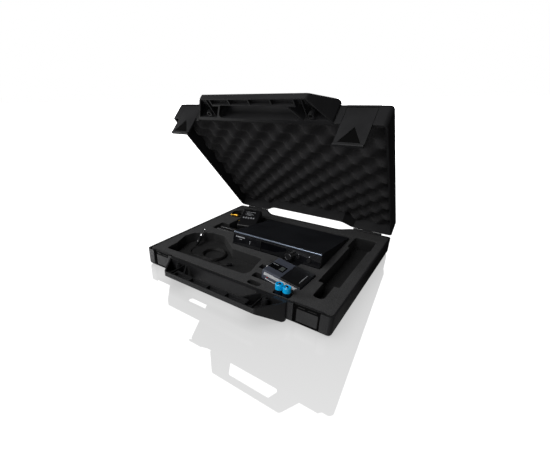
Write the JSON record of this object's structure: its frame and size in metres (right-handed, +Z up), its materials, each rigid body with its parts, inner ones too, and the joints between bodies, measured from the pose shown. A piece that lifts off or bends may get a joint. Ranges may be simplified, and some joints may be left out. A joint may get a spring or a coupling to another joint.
{
  "type": "wireless microphone set in a carrying case",
  "caption": "Hard carrying case with a hinged, foam-lined lid and grip handle; a die-cut inlay holds a receiver, body-pack, mains adapter, antennas, cells and a clip-on microphone.",
  "frame": {"origin": "bottom centre of the base tray's underside, measured without the handle", "axes": "+X to the right seen from the handle side, -Y towards the handle, +Y towards the hinge, +Z up"},
  "size_m": [0.412, 0.4368, 0.3352],
  "materials": {
    "case_plastic": "satin",
    "inlay_foam": "matte",
    "lid_foam": "matte",
    "steel": "satin",
    "receiver_paint": "satin",
    "trim_metal": "satin",
    "black_plastic": "satin",
    "window": "gloss",
    "circuit_board": "satin",
    "pack_grey": "satin",
    "pack_silver": "satin",
    "cell_blue": "satin",
    "gold": "satin",
    "cord": "matte",
    "led": "gloss"
  },
  "bodies": {
    "case_base": {"base_shell": "case_plastic", "foam_inlay": "inlay_foam", "hinge_pin_left": "steel", "hinge_pin_right": "steel"},
    "lid": {"lid_shell": "case_plastic", "lid_foam": "lid_foam", "latch_pin_left": "steel", "latch_pin_right": "steel"},
    "latch_left": {"latch_left": "case_plastic"},
    "latch_right": {"latch_right": "case_plastic"},
    "receiver": {"receiver_cover": "receiver_paint", "receiver_chassis": "steel", "receiver_rear_panel": "steel", "receiver_front_panel": "black_plastic", "receiver_front_trim": "trim_metal", "receiver_window": "window", "receiver_circuit_board": "circuit_board", "receiver_antenna_socket_a": "steel", "receiver_antenna_socket_b": "steel", "receiver_power_inlet": "black_plastic", "receiver_screw_1": "steel", "receiver_screw_2": "steel", "receiver_screw_3": "steel", "receiver_screw_4": "steel"},
    "jog_knob": {"receiver_jog_knob": "black_plastic"},
    "escape_button": {"receiver_escape_button": "black_plastic"},
    "power_button": {"receiver_power_button": "black_plastic"},
    "adapter": {"adapter_lower_shell": "black_plastic", "adapter_upper_shell": "black_plastic", "adapter_mains_pin_left": "gold", "adapter_mains_pin_right": "gold", "adapter_strain_relief": "cord", "dc_lead_start": "cord", "dc_lead_coil": "cord", "dc_lead_end": "cord", "dc_plug_grip": "gold", "dc_plug_tip": "gold"},
    "pack": {"pack_housing": "pack_grey", "pack_display_window": "window", "pack_side_strip": "pack_silver", "pack_red_lamp": "led", "pack_lead_socket": "steel", "pack_antenna": "cord", "pack_belt_clip": "steel"},
    "pack_cover": {"pack_battery_cover": "black_plastic"},
    "mute_switch": {"pack_mute_switch": "black_plastic"},
    "cell_a": {"cell_a": "cell_blue", "cell_a_contact": "steel"},
    "cell_b": {"cell_b": "cell_blue", "cell_b_contact": "steel"},
    "rod_antenna_a": {"rod_antenna_a": "black_plastic"},
    "rod_antenna_b": {"rod_antenna_b": "black_plastic"},
    "clip_mic": {"mic_plug_barrel": "black_plastic", "mic_plug_collar": "steel", "mic_plug_pin": "steel", "mic_lead_start": "cord", "mic_lead_coil": "cord", "mic_lead_end": "cord", "mic_capsule": "black_plastic"}
  },
  "joints": [
    {"name": "lid_hinge", "type": "hinge", "parent": "case_base", "child": "lid", "pos_m": [0, 0.185, 0.036], "axis": [-1, 0, 0], "range_deg": [-44.5, 55.5], "deforming": ["lid_foam"]},
    {"name": "latch_left_hinge", "type": "hinge", "parent": "lid", "child": "latch_left", "pos_m": [-0.164, -0.05304, 0.31366], "axis": [-1, 0, 0], "range_deg": [0, 75]},
    {"name": "latch_right_hinge", "type": "hinge", "parent": "lid", "child": "latch_right", "pos_m": [0.164, -0.05304, 0.31366], "axis": [-1, 0, 0], "range_deg": [0, 75]},
    {"name": "receiver_lift", "type": "slide", "parent": "case_base", "child": "receiver", "axis": [0, 0, 1], "range_m": [0, 0.04]},
    {"name": "jog_knob_turn", "type": "hinge", "parent": "receiver", "child": "jog_knob", "pos_m": [0.07, -0.04901, 0.04701], "axis": [0, -0.989, 0.1478], "continuous": true},
    {"name": "escape_button_press", "type": "slide", "parent": "receiver", "child": "escape_button", "axis": [0, 0.989, -0.1478], "range_m": [0, 0.001], "stiffness_N_per_m": 300},
    {"name": "power_button_press", "type": "slide", "parent": "receiver", "child": "power_button", "axis": [0, 0.989, -0.1478], "range_m": [0, 0.001], "stiffness_N_per_m": 300},
    {"name": "adapter_lift", "type": "slide", "parent": "case_base", "child": "adapter", "axis": [0, 0, 1], "range_m": [0, 0.035]},
    {"name": "pack_lift", "type": "slide", "parent": "case_base", "child": "pack", "axis": [0, 0, 1], "range_m": [0, 0.04]},
    {"name": "pack_cover_hinge", "type": "hinge", "parent": "pack", "child": "pack_cover", "pos_m": [0.13263, -0.10852, 0.03886], "axis": [0.0523, 0.9986, 0], "range_deg": [0, 95]},
    {"name": "mute_switch_press", "type": "slide", "parent": "pack", "child": "mute_switch", "axis": [0.9889, -0.0518, -0.1392], "range_m": [0, 0.0008], "stiffness_N_per_m": 300},
    {"name": "cell_a_lift", "type": "slide", "parent": "case_base", "child": "cell_a", "axis": [0, 0, 1], "range_m": [0, 0.04]},
    {"name": "cell_b_lift", "type": "slide", "parent": "case_base", "child": "cell_b", "axis": [0, 0, 1], "range_m": [0, 0.04]},
    {"name": "rod_antenna_a_lift", "type": "slide", "parent": "case_base", "child": "rod_antenna_a", "axis": [0, 0, 1], "range_m": [0, 0.03]},
    {"name": "rod_antenna_b_lift", "type": "slide", "parent": "case_base", "child": "rod_antenna_b", "axis": [0, 0, 1], "range_m": [0, 0.03]},
    {"name": "clip_mic_lift", "type": "slide", "parent": "case_base", "child": "clip_mic", "axis": [0, 0, 1], "range_m": [0, 0.03]}
  ]
}
